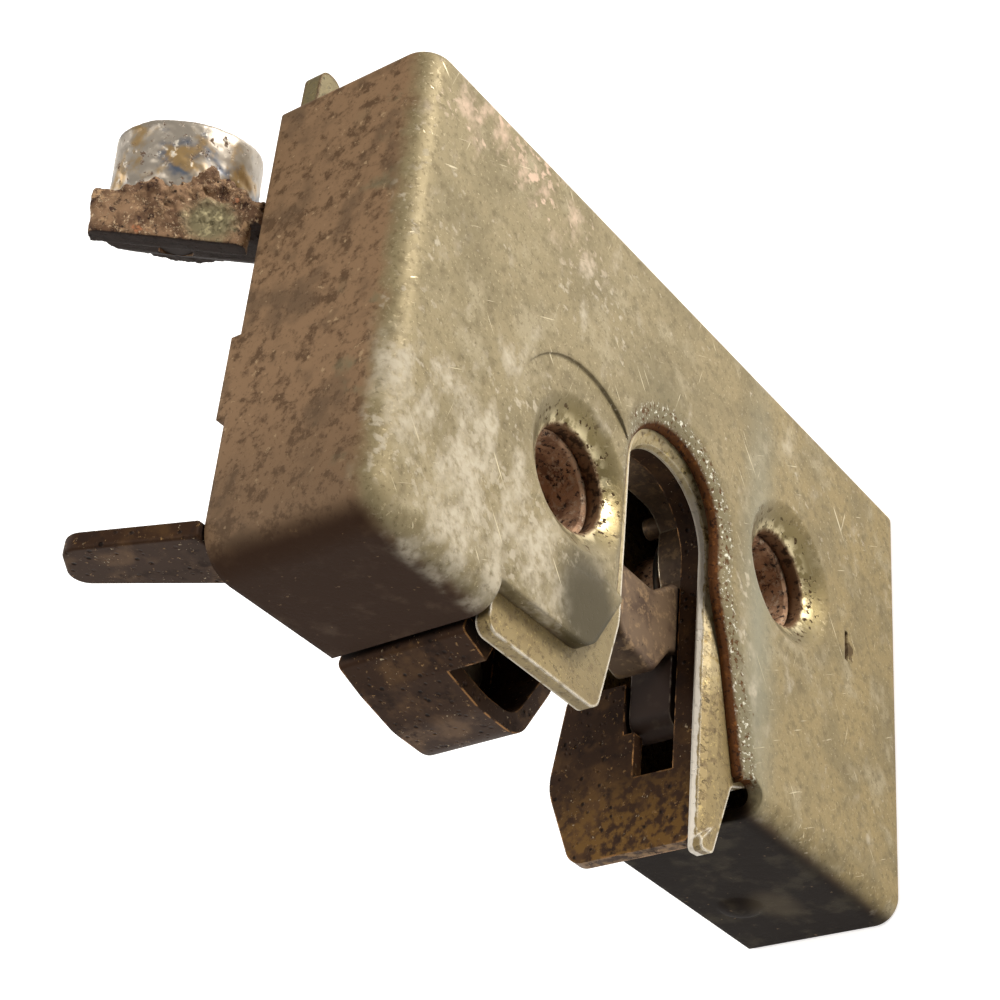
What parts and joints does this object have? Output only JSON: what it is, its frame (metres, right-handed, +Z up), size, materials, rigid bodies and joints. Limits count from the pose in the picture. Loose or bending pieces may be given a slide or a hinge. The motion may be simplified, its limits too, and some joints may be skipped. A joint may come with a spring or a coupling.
{
  "type": "rotary side-door latch",
  "caption": "Sheet-metal vehicle door latch with a U-shaped mouth, rotating fork, threaded fixing bushes, release levers and a locking lever.",
  "frame": {"origin": "centre of the mouth's rounded end, on the plane of the case's face", "axes": "+Z up along the case as installed, +X outboard (from the mouth's opening towards its closed end), +Y from the face into the door"},
  "size_m": [0.0641, 0.0376, 0.0994],
  "materials": {
    "olive_zinc": "drawn steel sheet, dulled olive-grey zinc plating with white corrosion",
    "yellow_zinc": "steel sheet, pale yellow passivated zinc, rust at the folds",
    "brown_steel": "steel sheet, pitted brown-gold rust",
    "crusted_steel": "steel under thick flaking rust",
    "fork_steel": "blanked steel, worn brown-pink",
    "bush_steel": "turned steel, rusted inside",
    "pad_metal": "bright plated steel with yellow patches",
    "pin_steel": "plated pins and rivets",
    "spring_steel": "oiled spring wire",
    "nose_plastic": "dark moulded plastic"
  },
  "bodies": {
    "case": {"outer_case": "olive_zinc", "mouth_lip": "yellow_zinc", "guide_frame": "brown_steel", "guide_ramp": "brown_steel", "back_plate": "yellow_zinc", "upper_bush": "bush_steel", "lower_bush": "bush_steel", "plate_rivets": "pin_steel", "spring_post": "pin_steel", "fork_washer": "pin_steel", "fork_spring": "spring_steel", "pawl_pin": "pin_steel", "pawl_spring": "spring_steel", "outside_lever_pivot": "pin_steel", "outside_lever_spring": "spring_steel", "link_guide": "yellow_zinc", "inside_lever_pivot": "pin_steel", "inside_lever_clip": "spring_steel", "lock_bracket": "yellow_zinc", "lock_pin": "pin_steel", "lock_spring": "spring_steel"},
    "fork": {"fork": "fork_steel", "fork_buffer": "nose_plastic"},
    "pawl": {"pawl": "fork_steel", "pawl_stud": "pin_steel", "stud_ring": "pin_steel"},
    "outside_lever": {"outside_lever": "crusted_steel", "contact_pad": "pad_metal", "pad_rivet": "pin_steel", "drive_pin": "pin_steel"},
    "release_link": {"release_link": "yellow_zinc"},
    "inside_lever": {"inside_lever": "yellow_zinc"},
    "lock_lever": {"lock_lever": "brown_steel"}
  },
  "joints": [
    {"name": "outside_lever_swing", "type": "hinge", "parent": "case", "child": "outside_lever", "pos_m": [0.022, 0.0194, 0.023], "axis": [0, -1, 0], "range_deg": [0, 16], "stiffness_Nm_per_rad": 0.3, "springref_deg": -28.65, "deforming": ["outside_lever_spring"]},
    {"name": "fork_swing", "type": "hinge", "parent": "case", "child": "fork", "pos_m": [0.006, 0.0076, -0.021], "axis": [0, -1, 0], "range_deg": [0, 45], "deforming": ["fork_spring"]},
    {"name": "pawl_swing", "type": "hinge", "parent": "case", "child": "pawl", "pos_m": [0.0195, 0.0076, -0.037], "axis": [0, -1, 0], "range_deg": [0, 22.5], "deforming": ["pawl_spring"]},
    {"name": "release_link_slide", "type": "slide", "parent": "case", "child": "release_link", "axis": [0, 0, -1], "range_m": [0, 0.00221]},
    {"name": "inside_lever_swing", "type": "hinge", "parent": "case", "child": "inside_lever", "pos_m": [-0.002, 0.0193, -0.033], "axis": [0, 1, 0], "range_deg": [0, 7.9]},
    {"name": "lock_lever_swing", "type": "hinge", "parent": "case", "child": "lock_lever", "pos_m": [-0.0206, 0.009, 0.033], "axis": [-1, 0, 0], "range_deg": [0, 25]}
  ],
  "couplings": [
    {"joint": "fork_swing", "follows": "outside_lever_swing", "ratio": 2.8125},
    {"joint": "pawl_swing", "follows": "outside_lever_swing", "ratio": 1.4062},
    {"joint": "release_link_slide", "follows": "outside_lever_swing", "m_per_rad": 0.0078964},
    {"joint": "inside_lever_swing", "follows": "outside_lever_swing", "ratio": 0.49375}
  ]
}
